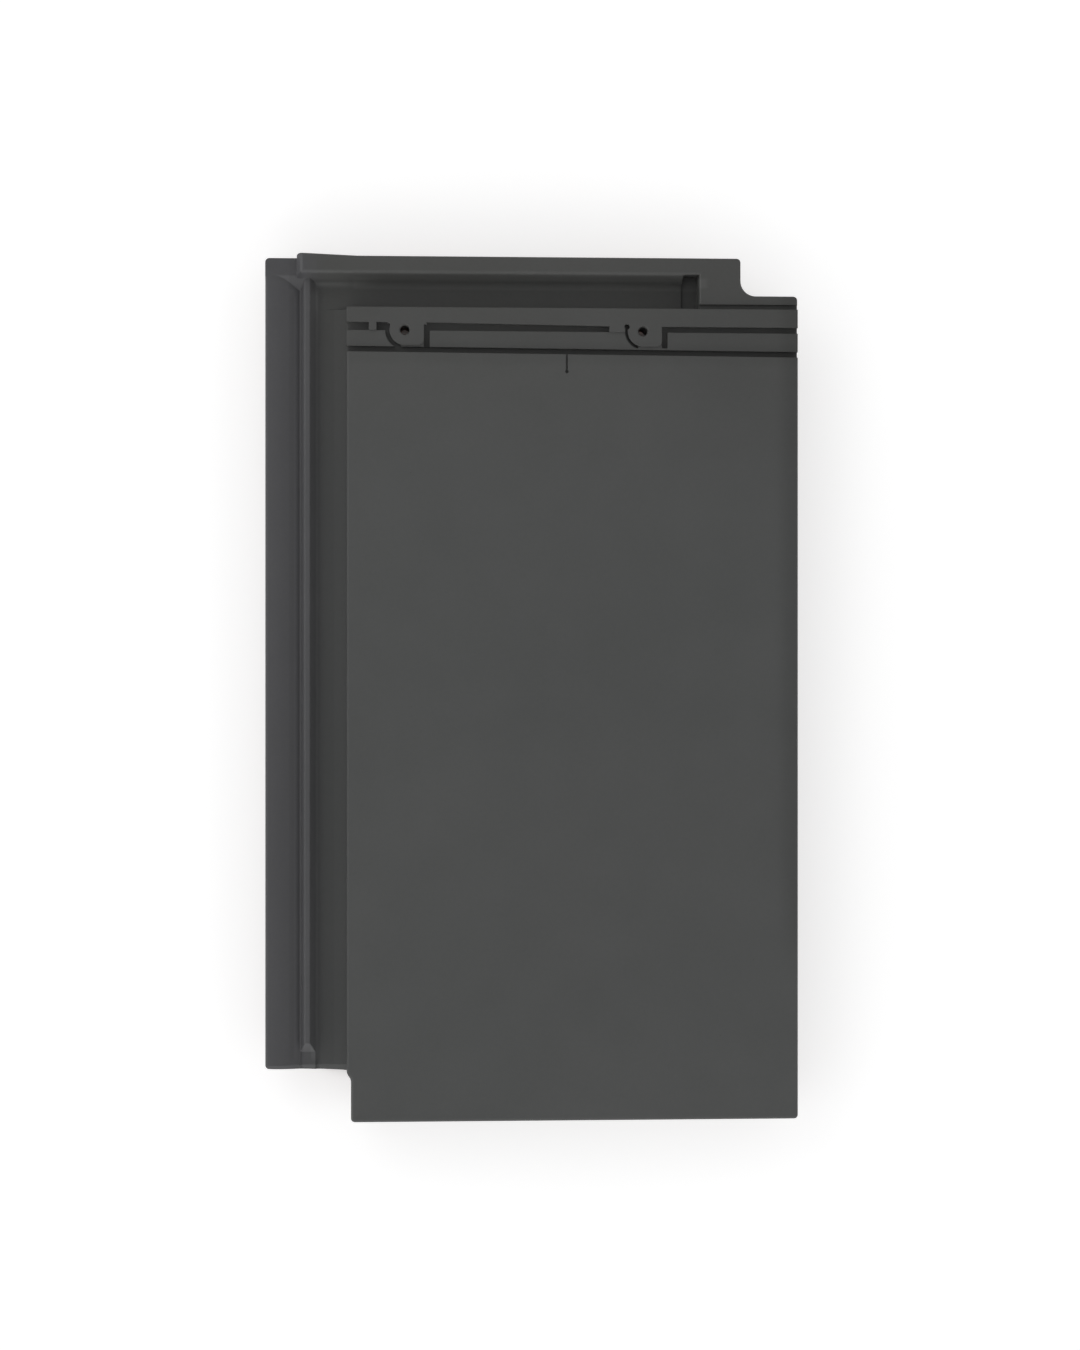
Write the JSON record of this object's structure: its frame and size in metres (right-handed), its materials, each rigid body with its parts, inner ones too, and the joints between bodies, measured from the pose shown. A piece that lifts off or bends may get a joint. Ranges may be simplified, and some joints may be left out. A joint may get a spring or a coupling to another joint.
{
  "type": "flat interlocking roof tile",
  "caption": "Flat dark grey ceramic roof tile with a low interlocking edge on the left, a water channel across the head, nail holes and lugs that hook over a batten.",
  "frame": {"origin": "on the ground under the middle of the tile's outline, level with the undersides of the lugs and foot ribs that it lies on", "axes": "+X across the tile to the cover edge, +Y up the roof from the nose to the head, +Z out of the weathered face"},
  "size_m": [0.28, 0.4544, 0.034],
  "materials": {
    "fired_clay": "matt anthracite engobe on fired clay"
  },
  "bodies": {
    "root": {"roof_tile": "fired_clay"}
  },
  "joints": []
}
